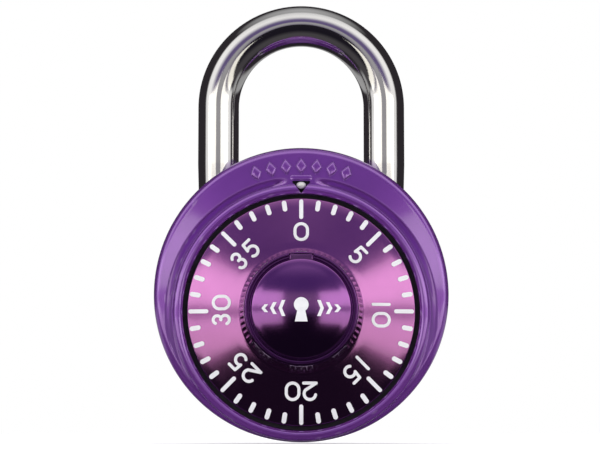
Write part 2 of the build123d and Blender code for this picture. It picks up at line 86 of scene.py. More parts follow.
# ---------------------------------------------------------------- sizes
# They come from the frame where it has them, and the details that only this model has are added here.
# dial, knob and cap
DIAL_LOW, DIAL_HIGH = node_span("dial_plate", Z)
DIAL_Z = (DIAL_LOW + DIAL_HIGH) / 2
DIAL_R = (DIAL_HIGH - DIAL_LOW) / 2
DIAL_BACK = back_depth("dial_plate")
DIAL_RIM = DIAL_BACK + 0.9 * MM
DIAL_TOP = DIAL_RIM + 1.5 * MM
BORE_R = 3.1 * MM
KNOB_BASE = front_depth("dial_plate")
KNOB_R = node_span("knob", X)[1]
KNOB_TOP = front_depth("knob") - 0.2 * MM
KNOB_TOP_R = KNOB_R - 1.05 * MM
CAP_R = node_span("knob_cap", X)[1]
CAP_BACK = back_depth("knob_cap")
CAP_TOP = front_depth("knob_cap")
CAP_EDGE = CAP_TOP - 1.1 * MM
CAP_GAP = 0.06 * MM
KEY_WIDTH = 3.7 * MM
KEY_GAP = 0.1 * MM
KEY_TOP = node_span("knob_cap", Z)[1]

# shell and flange, about the case's axis
WALL = 0.8 * MM
CASE_R = node_span("rear_cover", X)[1] + 0.89 * MM
EDGE_R = 1.3 * MM
RIM_R = CASE_R - EDGE_R
LIP_WIDTH = 1.55 * MM
LIP_DEPTH = 1.0 * MM
BACK_GAP = 0.1 * MM
SIDE_MIDDLE = 9.0 * MM
INNER_FRONT = front_depth("inner_case")
FLANGE_EDGE = INNER_FRONT + WALL
FLANGE_RISE = 0.7 * MM
FLANGE_TOP_R = 17.0 * MM
FLANGE_RINGS = 48

# bead, moat, index window and embossing, about the dial's axis
BEAD_IN = DIAL_R + 0.7 * MM
BEAD_OUT = BEAD_IN + 1.8 * MM
BEAD_TOP = front_depth("dial_bushing") + 2.5 * MM
OPENING_R = BEAD_IN + 0.3 * MM
MOAT_WIDTH = 1.3 * MM
MOAT_DEPTH = 0.5 * MM
MOAT_ROOM = 3.0 * MM
MOAT_START = 1.6 * MM
MOAT_RUN_IN = 3.6 * MM
WINDOW_TOP = 21.35 * MM
WINDOW_TIP = 19.2 * MM
WINDOW_HALF = 1.45 * MM
WINDOW_CORNER = 0.2 * MM
WINDOW_CUT = (10 * MM, 25 * MM)
LOZENGES = 7
LOZENGE_R = 23.8 * MM
LOZENGE_SPACING = 6
LOZENGE_HALF_WIDTH = 1.0 * MM
LOZENGE_HALF_HEIGHT = 1.45 * MM
LOZENGE_LIFT = 0.36 * MM
PAD_HALF = 1.4 * MM
PAD_CORNER = 0.4 * MM
PAD_LIFT = 0.12 * MM

# rear pan, about the case's axis
PAN_R = node_span("rear_cover", X)[1] - 0.7 * MM
PAN_GROOVE_R = 17.4 * MM
PAN_EDGE_R = 0.5 * MM
PAN_FLANGE = 1.2 * MM
PAN_DEPTH = 1.8 * MM

# index stud
STUD_Z = sum(node_span("index_stud", Z)) / 2
STUD_TOP = front_depth("index_stud")
STUD_SHANK_R = 0.5 * MM
STUD_HEAD_R = 0.78 * MM
STUD_DOME = 0.6 * MM
STUD_FLATTENING = 0.72
STUD_DROP = 0.08 * MM

# shackle
SHACKLE_LOW, SHACKLE_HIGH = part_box("shackle")
LEG_R = (SHACKLE_HIGH[Y] - SHACKLE_LOW[Y]) / 2
LEG_Y = (SHACKLE_HIGH[Y] + SHACKLE_LOW[Y]) / 2
LEG_X = SHACKLE_HIGH[X] - LEG_R
BOW_Z = SHACKLE_HIGH[Z] - LEG_R - LEG_X
HEEL_Z = SHACKLE_LOW[Z]
TOE_Z = node_span("toe_guide", Z)[0] - 6.0 * MM
NECK_Z = 22.1 * MM
NECK_R = LEG_R - 0.17 * MM
NECK_TAPER = 6.0 * MM
CHAMFER = 0.6 * MM
GROOVE_R = 2.5 * MM
RETAINER_LOW, RETAINER_HIGH = node_span("heel_retainer", Z)
GUIDE_LOW, GUIDE_HIGH = node_span("heel_guide", Y)
GUIDE_R = (GUIDE_HIGH - GUIDE_LOW) / 2
GUIDE_HOLE = (10 * MM, 26 * MM)

# edges that turn by more than this many degrees stay crisp in the shading
SHARP_ANGLE = 32
PATCH_SHARP_ANGLE = 50
BAR_SHARP_ANGLE = 28


# ---------------------------------------------------------------- mesh helpers
def arc(cx, cy, r, start, end, steps):
    """Points of a circular arc."""
    turns = [radians(start + (end - start) * i / steps) for i in range(steps + 1)]
    return [(cx + r * cos(turn), cy + r * sin(turn)) for turn in turns]


def ease(share):
    """Smooth step from 0 to 1, for a share from 0 to 1."""
    return 0.5 - 0.5 * cos(pi * min(1.0, max(0.0, share)))


def add_piece(name, bm, body, sharp_angle=SHARP_ANGLE):
    """Turn a bmesh into a shaded piece, which rides on a body if one is named."""
    bmesh.ops.recalc_face_normals(bm, faces=bm.faces)
    mesh = bpy.data.meshes.new(name)
    bm.to_mesh(mesh)
    bm.free()
    mesh.shade_smooth()
    mesh.set_sharp_from_angle(angle=radians(sharp_angle))
    piece = bpy.data.objects.new(name, mesh)
    bpy.context.collection.objects.link(piece)
    if body:
        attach(piece, body)
    return piece


def dress(piece, material, node):
    """Give a finished piece its material, and hide the CAD node that it stands for."""
    piece.data.materials.append(material)
    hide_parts(node)


def side_faces(bm, low, high):
    """Skin the band between two closed rings of equal length."""
    for i in range(len(low)):
        j = (i + 1) % len(low)
        bm.faces.new((low[i], high[i], high[j], low[j]))


def fan_faces(bm, tip, ring):
    """Skin the disc between a vertex and a closed ring."""
    for i in range(len(ring)):
        bm.faces.new((tip, ring[i], ring[(i + 1) % len(ring)]))


def join_rings(bm, rings):
    """Skin a closed loop of rings; a ring of one vertex is the tip of a fan."""
    for low, high in zip(rings, rings[1:] + rings[:1]):
        if len(low) > 1 and len(high) > 1:
            side_faces(bm, low, high)
        elif len(high) > 1:
            fan_faces(bm, low[0], high)
        elif len(low) > 1:
            fan_faces(bm, high[0], low[::-1])


def cap_ends(bm, rings):
    """Close a stack of rings with a face at each end."""
    bm.faces.new(rings[0])
    bm.faces.new(rings[-1][::-1])


def lathe(points, centre_z=0.0, steps=256, radius_at=None):
    """Revolve a closed outline of (radius, depth) points about a line parallel to Y."""
    bm = bmesh.new()
    rings = []
    for r, depth in points:
        if r == 0:
            rings.append([bm.verts.new((0, -depth, centre_z))])
            continue
        ring = []
        for i in range(steps):
            turn = 2 * pi * i / steps
            reach = radius_at(r, depth, turn) if radius_at else r
            ring.append(bm.verts.new((reach * sin(turn), -depth, centre_z + reach * cos(turn))))
        rings.append(ring)
    join_rings(bm, rings)
    return bm


def prism(outline, depth_back, depth_front):
    """Straight prism of an (x, z) outline between two depths."""
    bm = bmesh.new()
    rings = [[bm.verts.new((x, -depth, z)) for x, z in outline] for depth in (depth_back, depth_front)]
    cap_ends(bm, rings)
    side_faces(bm, *rings)
    return bm


def post(x, y, r, low, high, steps=96):
    """Round bar along Z."""
    bm = bmesh.new()
    rings = [[bm.verts.new((px, py, z)) for px, py in arc(x, y, r, 0, 360, steps)[:-1]] for z in (low, high)]
    cap_ends(bm, rings)
    side_faces(bm, *rings)
    return bm


def apply_modifiers(piece):
    """Bake a piece's modifiers into its mesh."""
    depsgraph = bpy.context.evaluated_depsgraph_get()
    baked = bpy.data.meshes.new_from_object(piece.evaluated_get(depsgraph))
    piece.modifiers.clear()
    piece.data = baked


def cut(piece, *tools):
    """Cut closed bmeshes out of a piece."""
    for tool in tools:
        bmesh.ops.recalc_face_normals(tool, faces=tool.faces)
        mesh = bpy.data.meshes.new("cutter")
        tool.to_mesh(mesh)
        tool.free()
        cutter = bpy.data.objects.new("cutter", mesh)
        bpy.context.collection.objects.link(cutter)
        boolean = piece.modifiers.new("cut", "BOOLEAN")
        boolean.object = cutter
        boolean.solver = "EXACT"
        apply_modifiers(piece)
        bpy.data.objects.remove(cutter)
    piece.data.shade_smooth()
    piece.data.set_sharp_from_angle(angle=radians(SHARP_ANGLE))


# ---------------------------------------------------------------- shader helpers
def new_material(name):
    """Material with an untouched Principled shader; returns material, nodes, links and shader."""
    material = bpy.data.materials.new(name)
    material.use_nodes = True
    nodes, links = material.node_tree.nodes, material.node_tree.links
    return material, nodes, links, nodes["Principled BSDF"]


def noise(nodes, links, scale, detail=4.0, rough=0.6, stretch=None):
    """Noise in object space, stretched along the axes if a scale for each is given."""
    place = nodes.new("ShaderNodeTexCoord")
    source = place.outputs["Object"]
    if stretch:
        mapping = nodes.new("ShaderNodeMapping")
        mapping.inputs["Scale"].default_value = stretch
        links.new(source, mapping.inputs["Vector"])
        source = mapping.outputs["Vector"]
    texture = nodes.new("ShaderNodeTexNoise")
    texture.inputs["Scale"].default_value = scale
    texture.inputs["Detail"].default_value = detail
    texture.inputs["Roughness"].default_value = rough
    links.new(source, texture.inputs["Vector"])
    return texture.outputs["Fac"]


def ramp(nodes, links, source, stops):
    """Colour ramp on a value."""
    node = nodes.new("ShaderNodeValToRGB")
    elements = node.color_ramp.elements
    while len(elements) < len(stops):
        elements.new(0.5)
    for element, (place, colour) in zip(elements, stops):
        element.position = place
        element.color = (*colour, 1)
    links.new(source, node.inputs["Fac"])
    return node.outputs["Color"]


def mix(nodes, links, factor, a, b):
    """Mix two colours, each a socket or a tuple."""
    node = nodes.new("ShaderNodeMix")
    node.data_type = "RGBA"
    links.new(factor, node.inputs["Factor"])
    for value, socket in ((a, node.inputs["A"]), (b, node.inputs["B"])):
        if isinstance(value, tuple):
            socket.default_value = (*value, 1)
        else:
            links.new(value, socket)
    return node.outputs["Result"]


def to_range(nodes, links, source, low, high, from_low=0.0, from_high=1.0):
    """Map a value from one range to another, and hold it there."""
    node = nodes.new("ShaderNodeMapRange")
    node.inputs["From Min"].default_value = from_low
    node.inputs["From Max"].default_value = from_high
    node.inputs["To Min"].default_value = low
    node.inputs["To Max"].default_value = high
    links.new(source, node.inputs["Value"])
    return node.outputs["Result"]


def multiply(nodes, links, a, b):
    """Product of two values."""
    node = nodes.new("ShaderNodeMath")
    node.operation = "MULTIPLY"
    links.new(a, node.inputs[0])
    links.new(b, node.inputs[1])
    return node.outputs["Value"]


def bump(nodes, links, shader, height, strength, distance):
    """Raise a shader's surface by a height."""
    node = nodes.new("ShaderNodeBump")
    node.inputs["Strength"].default_value = strength
    node.inputs["Distance"].default_value = distance
    links.new(height, node.inputs["Height"])
    links.new(node.outputs["Normal"], shader.inputs["Normal"])


def metal(name, colour, worn, rough, metallic=1.0, grain=2500, grain_depth=2e-6, stretch=None,
          coat=0.0, coat_rough=0.1, coat_ior=1.5):
    """Bare, plated or painted metal: blotchy tone, paler worn edges, uneven gloss and a fine grain."""
    material, nodes, links, shader = new_material(name)
    blotches = noise(nodes, links, scale=90, detail=3)
    darker = tuple(0.86 * c for c in colour)
    tone = ramp(nodes, links, blotches, [(0.3, darker), (0.7, colour)])
    geometry = nodes.new("ShaderNodeNewGeometry")
    edges = to_range(nodes, links, geometry.outputs["Pointiness"], 0.0, 0.55, from_low=0.53, from_high=0.62)
    wear = multiply(nodes, links, edges, noise(nodes, links, scale=700, detail=5))
    links.new(mix(nodes, links, wear, tone, worn), shader.inputs["Base Color"])
    gloss = noise(nodes, links, scale=260, detail=5)
    links.new(to_range(nodes, links, gloss, 0.82 * rough, 1.2 * rough), shader.inputs["Roughness"])
    fine = noise(nodes, links, scale=grain, stretch=stretch)
    bump(nodes, links, shader, fine, strength=0.35, distance=grain_depth)
    shader.inputs["Metallic"].default_value = metallic
    shader.inputs["Coat Weight"].default_value = coat
    shader.inputs["Coat Roughness"].default_value = coat_rough
    shader.inputs["Coat IOR"].default_value = coat_ior
    return material


# ---------------------------------------------------------------- materials
CASE_PURPLE = metal("case_purple", (0.262, 0.064, 0.46), worn=(0.60, 0.42, 0.74), rough=0.20,
                    metallic=0.6, coat=1.0, coat_rough=0.07, coat_ior=1.85)
DIAL_PURPLE = metal("dial_purple", (0.58, 0.21, 0.55), worn=(0.78, 0.5, 0.75), rough=0.14,
                    grain=1800, grain_depth=6e-7, coat=0.5, coat_rough=0.04)
KNOB_PURPLE = metal("knob_purple", (0.36, 0.12, 0.44), worn=(0.74, 0.5, 0.74), rough=0.14,
                    grain=1800, grain_depth=6e-7, coat=0.5, coat_rough=0.04)
# A darker copy of the knob's purple: painted shade on the knob's ridged skirt and on the cap's key tab.
KNOB_PAINTED_SHADE = metal("knob_painted_shade", (0.17, 0.05, 0.23), worn=(0.40, 0.20, 0.44), rough=0.20,
                  grain=1800, grain_depth=6e-7, coat=0.2, coat_rough=0.08)
CHROME = metal("chrome", (0.83, 0.82, 0.82), worn=(0.86, 0.86, 0.86), rough=0.09,
               grain=1500, grain_depth=4e-7)
STUD_METAL = metal("stud_bright", (0.86, 0.86, 0.84), worn=(0.92, 0.92, 0.92), rough=0.42,
                   metallic=0.5, grain=2000, grain_depth=1e-6)
STEEL = metal("steel", (0.48, 0.48, 0.49), worn=(0.62, 0.62, 0.63), rough=0.30,
              grain=1200, grain_depth=3e-6, stretch=(1, 1, 12))
SPRING_WIRE = metal("spring_wire", (0.30, 0.30, 0.32), worn=(0.5, 0.5, 0.52), rough=0.25, grain=2200)
ZINC = metal("zinc", (0.42, 0.42, 0.44), worn=(0.58, 0.58, 0.6), rough=0.45, grain=900, grain_depth=8e-6)
# Near-black for the inner case: painted shade where the inside of the case shows through the gap round the
# dial.
INNER_CASE_PAINTED_SHADE = metal("blackened_steel", (0.030, 0.024, 0.036), worn=(0.12, 0.11, 0.13), rough=0.42,
                  metallic=0.6, grain=1200, grain_depth=3e-6)
BRASS = metal("brass", (0.70, 0.50, 0.20), worn=(0.82, 0.66, 0.36), rough=0.28, grain=1400)
WHITE = metal("white_paint", (0.86, 0.86, 0.90), worn=(0.93, 0.93, 0.95), rough=0.36,
              metallic=0.0, grain=1600, grain_depth=3e-6)

SLOT_MATERIALS = {
    "purple_case": CASE_PURPLE,
    "purple_dial": DIAL_PURPLE,
    "white_paint": WHITE,
    "chrome_plate": CHROME,
    "bare_steel": STEEL,
    "spring_steel": SPRING_WIRE,
    "cast_zinc": ZINC,
    # The inner case's near-black is painted shade for the gap round the dial.
    "blackened_steel": INNER_CASE_PAINTED_SHADE,
    "brass_part": BRASS,
}
for subpart in frame["record"]["subparts"]:
    node_object = frame["nodes"][subpart["node"]]
    node_object.data.materials.clear()
    node_object.data.materials.append(SLOT_MATERIALS[subpart["material_slot"]])


# ---------------------------------------------------------------- shell
def index_window():
    """(x, z) outline of the triangular window, point down, with rounded corners."""
    side = WINDOW_HALF - WINDOW_CORNER
    top = DIAL_Z + WINDOW_TOP - WINDOW_CORNER
    tip = DIAL_Z + WINDOW_TIP + WINDOW_CORNER
    outline = arc(side, top, WINDOW_CORNER, -35, 90, 5)
    outline += arc(-side, top, WINDOW_CORNER, 90, 215, 5)
    return outline + arc(0, tip, WINDOW_CORNER, 230, 310, 4)


def flange_depth(x, z):
    """Depth of the flange, which slopes up to the bead and dips in a moat around it."""
    to_rim = RIM_R - sqrt(x * x + z * z)
    from_bead = sqrt(x * x + (z - DIAL_Z) ** 2) - BEAD_OUT
    slope = FLANGE_EDGE + FLANGE_RISE * to_rim / (RIM_R - FLANGE_TOP_R)
    moat = MOAT_DEPTH * min(1.0, (to_rim + from_bead) / MOAT_ROOM)
    if z > DIAL_Z:
        moat *= ease((abs(x) - MOAT_START) / MOAT_RUN_IN)
    return slope - moat * (1 - ease(from_bead / MOAT_WIDTH))


def drum_ring(bm, radius, centre_z, depth=None, steps=320):
    """Ring of vertices at a depth, or on the flange if no depth is given."""
    ring = []
    for i in range(steps):
        turn = 2 * pi * i / steps
        x, z = radius * sin(turn), centre_z + radius * cos(turn)
        ring.append(bm.verts.new((x, -(flange_depth(x, z) if depth is None else depth), z)))
    return ring


def case_drum():
    """Drum with a rounded front edge and a rolled rear lip; its flange runs in to the dial's opening."""
    rim = arc(RIM_R, FLANGE_EDGE - EDGE_R, EDGE_R, 88, 0, 10)
    rim += [(CASE_R, SIDE_MIDDLE)]
    rim += arc(RIM_R, EDGE_R + BACK_GAP, EDGE_R, 0, -90, 10)
    rim += [(CASE_R - LIP_WIDTH, BACK_GAP), (CASE_R - LIP_WIDTH, LIP_DEPTH)]
    rim += [(CASE_R - WALL, LIP_DEPTH), (CASE_R - WALL, INNER_FRONT)]
    bm = bmesh.new()
    rings = []
    for step in range(FLANGE_RINGS):
        share = step / FLANGE_RINGS
        rings.append(drum_ring(bm, OPENING_R + (RIM_R - OPENING_R) * share, DIAL_Z * (1 - share)))
    for radius, depth in rim:
        rings.append(drum_ring(bm, radius, 0.0, depth))
    rings.append(drum_ring(bm, OPENING_R, DIAL_Z, INNER_FRONT))
    join_rings(bm, rings)
    return bm


drum = add_piece("shell_drum", case_drum(), "case")
guide_holes = [post(side * LEG_X, LEG_Y, GUIDE_R, *GUIDE_HOLE) for side in (-1, 1)]
cut(drum, *guide_holes, prism(index_window(), *WINDOW_CUT))
dress(drum, CASE_PURPLE, "front_shell")

# The bead rises from the opening in a quarter round, falls in a wider one, and meets the flange in a hollow.
BEAD_ROUND = 0.75 * MM
BEAD_SHOULDER = 0.88 * MM
BEAD_HOLLOW = 0.55 * MM
bead_outline = (
    [(BEAD_IN, INNER_FRONT), (BEAD_IN, BEAD_TOP - 0.8 * MM)]
    + arc(BEAD_IN + BEAD_ROUND, BEAD_TOP - BEAD_ROUND, BEAD_ROUND, 175, 85, 10)
    + arc(BEAD_OUT - 1.0 * MM, BEAD_TOP - 0.9 * MM, BEAD_SHOULDER, 80, 12, 10)
    + arc(BEAD_OUT + 0.45 * MM, FLANGE_EDGE + BEAD_HOLLOW, BEAD_HOLLOW, 175, 215, 5)
    + [(BEAD_OUT, INNER_FRONT)]
)
bead = add_piece("shell_bead", lathe(bead_outline, DIAL_Z, 320), "case")
cut(bead, prism(index_window(), *WINDOW_CUT))
dress(bead, CASE_PURPLE, "front_shell")

# Layers of a pillow, from the foot up: the share of the outline's size and of the pillow's lift.
PILLOW_LAYERS = ((1.0, -0.25), (1.0, 0.35), (0.86, 0.8), (0.6, 1.0))


def pillow(outline, lift, centre_x, centre_z):
    """Low raised patch with a rounded top, standing on the flange."""
    bm = bmesh.new()
    rings = []
    for size, height in PILLOW_LAYERS:
        places = [(centre_x + x * size, centre_z + z * size) for x, z in outline]
        rings.append([bm.verts.new((x, -(flange_depth(x, z) + lift * height), z)) for x, z in places])
    cap_ends(bm, rings)
    for low, high in zip(rings, rings[1:]):
        side_faces(bm, low, high)
    return bm


# Points near a lozenge's corner: the share of the way to the next corner, or to the one before where it is
# negative, and the scale about the lozenge's centre that blunts the corner.
CORNER_POINTS = ((-0.22, 1.0), (-0.11, 0.92575), (0.0, 0.9615), (0.11, 0.92575), (0.22, 1.0))


def lozenge(turn):
    """(x, z) outline of a lozenge about its own centre, turned clockwise."""
    half_width, half_height = LOZENGE_HALF_WIDTH, LOZENGE_HALF_HEIGHT
    corners = [(0, half_height), (half_width, 0), (0, -half_height), (-half_width, 0)]
    s, c = sin(radians(turn)), cos(radians(turn))
    outline = []
    for k, corner in enumerate(corners):
        for share, scale in CORNER_POINTS:
            other = corners[k - 1] if share < 0 else corners[(k + 1) % 4]
            x, z = (scale * (a + (b - a) * abs(share)) for a, b in zip(corner, other))
            outline.append((x * c + z * s, z * c - x * s))
    return outline


for k in range(LOZENGES):
    turn = LOZENGE_SPACING * (k - LOZENGES // 2)
    x, z = LOZENGE_R * sin(radians(turn)), DIAL_Z + LOZENGE_R * cos(radians(turn))
    patch_mesh = pillow(lozenge(turn), LOZENGE_LIFT, x, z)
    patch = add_piece(f"flange_lozenge_{k}", patch_mesh, "case", PATCH_SHARP_ANGLE)
    dress(patch, CASE_PURPLE, "front_shell")

pad_outline = arc(PAD_HALF, 0, PAD_CORNER, 90, -90, 8) + arc(-PAD_HALF, 0, PAD_CORNER, 270, 90, 8)
pad_mesh = pillow(pad_outline, PAD_LIFT, 0, DIAL_Z + WINDOW_TOP + 0.55 * MM)
pad = add_piece("index_pad", pad_mesh, "case", PATCH_SHARP_ANGLE)
dress(pad, CASE_PURPLE, "front_shell")

# ---------------------------------------------------------------- rear pan
pan_outline = (
    [(0, 0), (PAN_GROOVE_R - 0.5 * MM, 0)]
    + arc(PAN_GROOVE_R, -0.15 * MM, 0.52 * MM, 163, 17, 10)
    + [(PAN_GROOVE_R + 0.5 * MM, 0), (PAN_R - 0.6 * MM, 0)]
    + arc(PAN_R - PAN_EDGE_R, PAN_EDGE_R, PAN_EDGE_R, -90, 0, 6)
    + [(PAN_R, PAN_DEPTH), (PAN_R - PAN_FLANGE, PAN_DEPTH), (PAN_R - PAN_FLANGE, WALL), (0, WALL)]
)
pan = add_piece("rear_pan", lathe(pan_outline), "case")
dress(pan, STEEL, "rear_cover")

# ---------------------------------------------------------------- index stud
head_turns = [radians(angle) for angle in range(0, 90, 9)]
stud_outline = (
    [(0, INNER_FRONT), (STUD_SHANK_R, INNER_FRONT), (STUD_SHANK_R, STUD_TOP - STUD_DOME)]
    + [(STUD_HEAD_R * cos(turn), STUD_TOP - STUD_DOME + STUD_DOME * sin(turn)) for turn in head_turns]
    + [(0, STUD_TOP)]
)
stud = add_piece("index_dot", lathe(stud_outline, STUD_Z, 48), "case")
for vertex in stud.data.vertices:
    vertex.co.z = STUD_Z - STUD_DROP + (vertex.co.z - STUD_Z) * STUD_FLATTENING
dress(stud, STUD_METAL, "index_stud")


# ---------------------------------------------------------------- dial
def cone_depth(radius):
    """Depth of the conical dial face at a radius."""
    return DIAL_RIM + (DIAL_TOP - DIAL_RIM) * (DIAL_R - radius) / (DIAL_R - KNOB_R)


DIAL_CORNER = 0.18 * MM
dial_outline = (
    [(BORE_R, DIAL_BACK), (DIAL_R - 0.3 * MM, DIAL_BACK), (DIAL_R, DIAL_BACK + 0.3 * MM)]
    + [(DIAL_R, DIAL_RIM - 0.2 * MM)]
    + arc(DIAL_R - DIAL_CORNER, cone_depth(DIAL_R - DIAL_CORNER) - DIAL_CORNER, DIAL_CORNER, 5, 80, 5)
    + [(r * MM, cone_depth(r * MM)) for r in (17.0, 15.0, 13.0, 11.5, 10.4)]
    + [(KNOB_R - 0.2 * MM, cone_depth(KNOB_R)), (KNOB_R - 0.7 * MM, KNOB_BASE), (BORE_R, KNOB_BASE)]
)
dial = add_piece("dial_cone", lathe(dial_outline, DIAL_Z, 320), "dial")
dress(dial, DIAL_PURPLE, "dial_plate")

# ---------------------------------------------------------------- knob
RIDGES = 64
RIDGE_DEPTH = 0.24 * MM
RIDGES_START, RIDGES_END = KNOB_BASE + 0.7 * MM, KNOB_TOP - 0.6 * MM
SKIRT_START, SKIRT_END = KNOB_BASE + 0.25 * MM, KNOB_TOP - 0.15 * MM
SKIRT_ROWS = 22


def ridged(radius, depth, turn):
    """Radius of the knob's skirt, pulled in between its ridges. The turn is in radians."""
    if radius < KNOB_TOP_R - 0.45 * MM or not RIDGES_START < depth < RIDGES_END:
        return radius
    fade = min(1.0, (depth - RIDGES_START) / (1.6 * MM), (RIDGES_END - depth) / (0.5 * MM))
    wave = 0.5 - 0.5 * cos(RIDGES * turn)
    return radius - RIDGE_DEPTH * fade * wave**1.5


skirt = []
for row in range(SKIRT_ROWS + 1):
    depth = SKIRT_START + (SKIRT_END - SKIRT_START) * row / SKIRT_ROWS
    share = (depth - KNOB_BASE) / (KNOB_TOP - KNOB_BASE)
    skirt.append((KNOB_R + (KNOB_TOP_R - KNOB_R) * share, depth))
knob_outline = (
    [(BORE_R, KNOB_BASE), (KNOB_R - 0.2 * MM, KNOB_BASE)]
    + skirt
    + arc(KNOB_TOP_R - 0.3 * MM, KNOB_TOP - 0.12 * MM, 0.3 * MM, 20, 85, 6)
    + [(CAP_R + 0.75 * MM, KNOB_TOP + 0.18 * MM), (CAP_R + 0.55 * MM, KNOB_TOP + 0.02 * MM)]
    + [(CAP_R + 0.35 * MM, KNOB_TOP + 0.02 * MM), (CAP_R + 0.2 * MM, KNOB_TOP + 0.18 * MM)]
    + [(CAP_R + CAP_GAP, KNOB_TOP + 0.1 * MM), (CAP_R + CAP_GAP, CAP_BACK), (BORE_R, CAP_BACK)]
)
knob = add_piece("knob_body", lathe(knob_outline, DIAL_Z, RIDGES * 10, ridged), "dial")


def key_outline(bottom, gap=0.0):
    """(x, z) outline of the cap's key tab, or with a gap, of the slot round it."""
    side, top = KEY_WIDTH / 2 + gap, KEY_TOP + gap
    return [(-side, bottom), (side, bottom), (side, top), (-side, top)]


cut(knob, prism(key_outline(DIAL_Z + 5 * MM, KEY_GAP), CAP_BACK, CAP_BACK + 6 * MM))
# The skirt takes the darker copy of the knob's purple: painted shade.
dress(knob, KNOB_PAINTED_SHADE, "knob")

# ---------------------------------------------------------------- cap
DOME_RISE = CAP_TOP - CAP_EDGE
DOME_R = ((CAP_R - 0.3 * MM) ** 2 + DOME_RISE**2) / (2 * DOME_RISE)


def dome_depth(radius):
    """Depth of the cap's domed face at a radius."""
    return CAP_TOP - DOME_R + sqrt(DOME_R**2 - radius**2)


cap_outline = (
    [(0, CAP_BACK), (CAP_R - 0.02 * MM, CAP_BACK), (CAP_R - 0.02 * MM, CAP_EDGE - 0.3 * MM)]
    + arc(CAP_R - 0.27 * MM, CAP_EDGE - 0.22 * MM, 0.25 * MM, 0, 75, 6)
    + [(r * MM, dome_depth(r * MM)) for r in (7.2, 6.5, 5.6, 4.6, 3.6, 2.6, 1.6, 0.8)]
    + [(0, CAP_TOP)]
)
cap = add_piece("cap_disc", lathe(cap_outline, DIAL_Z), "dial")
dress(cap, KNOB_PURPLE, "knob_cap")

key_mesh = prism(key_outline(DIAL_Z + CAP_R - 0.4 * MM), CAP_BACK, KNOB_TOP + 0.25 * MM)
key = add_piece("cap_key", key_mesh, "dial")
bevel = key.modifiers.new("bevel", "BEVEL")
bevel.width = 0.18 * MM
bevel.segments = 3
apply_modifiers(key)
# The key tab takes the darker copy of the knob's purple: painted shade, though it faces front like the cap.
dress(key, KNOB_PAINTED_SHADE, "knob_cap")

# ---------------------------------------------------------------- shackle
UP, DOWN, BACK = Vector((0, 0, 1)), Vector((0, 0, -1)), Vector((0, 1, 0))
LEG_STEP = 0.25 * MM
LEG_STEPS = 6
BOW_STEPS = 72
TUBE_SIDES = 72
NOTCH_DEPTH = 0.8 * MM
NOTCH_HEIGHTS = (12.2 * MM, 13.9 * MM, 16.2 * MM, 17.3 * MM)


def leg_radius(z, end):
    """Radius of a leg at a height: chamfered at its end, and tapered into its neck inside the case."""
    if z < end + CHAMFER:
        return NECK_R - CHAMFER + (z - end)
    blend = min(1.0, max(0.0, (z - NECK_Z + NECK_TAPER) / NECK_TAPER))
    return NECK_R + (LEG_R - NECK_R) * blend


def toe_leg():
    """Stations (centre, direction, radius) up the short leg."""
    heights = [TOE_Z + CHAMFER * i / 4 for i in range(5)]
    heights += [TOE_Z + CHAMFER + (NECK_Z - TOE_Z - 2 * CHAMFER) * i / 10 for i in range(1, 11)]
    heights = [z for z in heights if z < NECK_Z - 2.2 * MM]
    heights += [NECK_Z - LEG_STEP * i for i in range(8, -1, -1)]
    heights += [NECK_Z + (BOW_Z - NECK_Z) * i / LEG_STEPS for i in range(1, LEG_STEPS + 1)]
    return [(Vector((-LEG_X, LEG_Y, z)), UP, leg_radius(z, TOE_Z)) for z in heights]


def bow():
    """Stations over the half circle between the legs."""
    stations = []
    for i in range(1, BOW_STEPS):
        turn = pi - pi * i / BOW_STEPS
        centre = Vector((LEG_X * cos(turn), LEG_Y, BOW_Z + LEG_X * sin(turn)))
        stations.append((centre, Vector((sin(turn), 0, -cos(turn))), LEG_R))
    return stations


def heel_leg():
    """Stations down the long leg, with square steps into and out of the retainer's groove."""
    heights = [BOW_Z - (BOW_Z - NECK_Z) * i / LEG_STEPS for i in range(LEG_STEPS)]
    heights += [NECK_Z - LEG_STEP * i for i in range(9)]
    heights += [19.0 * MM - 2.0 * MM * i for i in range(11)]
    heights += [RETAINER_HIGH + 0.2 * MM, RETAINER_LOW - 0.2 * MM]
    heights += [HEEL_Z + CHAMFER, HEEL_Z + CHAMFER / 2, HEEL_Z]
    stations = []
    for z in sorted(heights, reverse=True):
        full = leg_radius(z, HEEL_Z)
        if not RETAINER_LOW - 0.25 * MM < z < RETAINER_HIGH + 0.25 * MM:
            radii = [full]
        elif z > RETAINER_HIGH:
            radii = [full, GROOVE_R]
        elif z < RETAINER_LOW:
            radii = [GROOVE_R, full]
        else:
            radii = [GROOVE_R]
        stations += [(Vector((LEG_X, LEG_Y, z)), DOWN, radius) for radius in radii]
    return stations


def tube(stations):
    """Round bar through stations that all lie in one plane square to Y."""
    bm = bmesh.new()
    turns = [2 * pi * k / TUBE_SIDES for k in range(TUBE_SIDES)]
    rings = []
    for centre, along, radius in stations:
        side = BACK.cross(along)
        spokes = [radius * (cos(turn) * side + sin(turn) * BACK) for turn in turns]
        rings.append([bm.verts.new(centre + spoke) for spoke in spokes])
    for low, high in zip(rings, rings[1:]):
        side_faces(bm, low, high)
    cap_ends(bm, rings)
    return bm


def latch_notch():
    """(x, z) outline of the notch in the toe leg's inner side, where the latch holds it."""
    face = LEG_R - LEG_X
    mouth, bottom = face + 0.3 * MM, face - NOTCH_DEPTH
    return list(zip((mouth, bottom, bottom, mouth), NOTCH_HEIGHTS))


bar = tube(toe_leg() + bow() + heel_leg())
shackle = add_piece("shackle_bow", bar, "shackle_body", BAR_SHARP_ANGLE)
cut(shackle, prism(latch_notch(), -LEG_Y - 5 * MM, -LEG_Y + 5 * MM))
dress(shackle, CHROME, "shackle")

# ---------------------------------------------------------------- floor
scene = bpy.context.scene
scene.view_settings.view_transform = "Standard"
low, high = cad_bounds
centre = (low + high) / 2
FLOOR_R = 3.0
FLOOR_GAP = 0.2 * MM

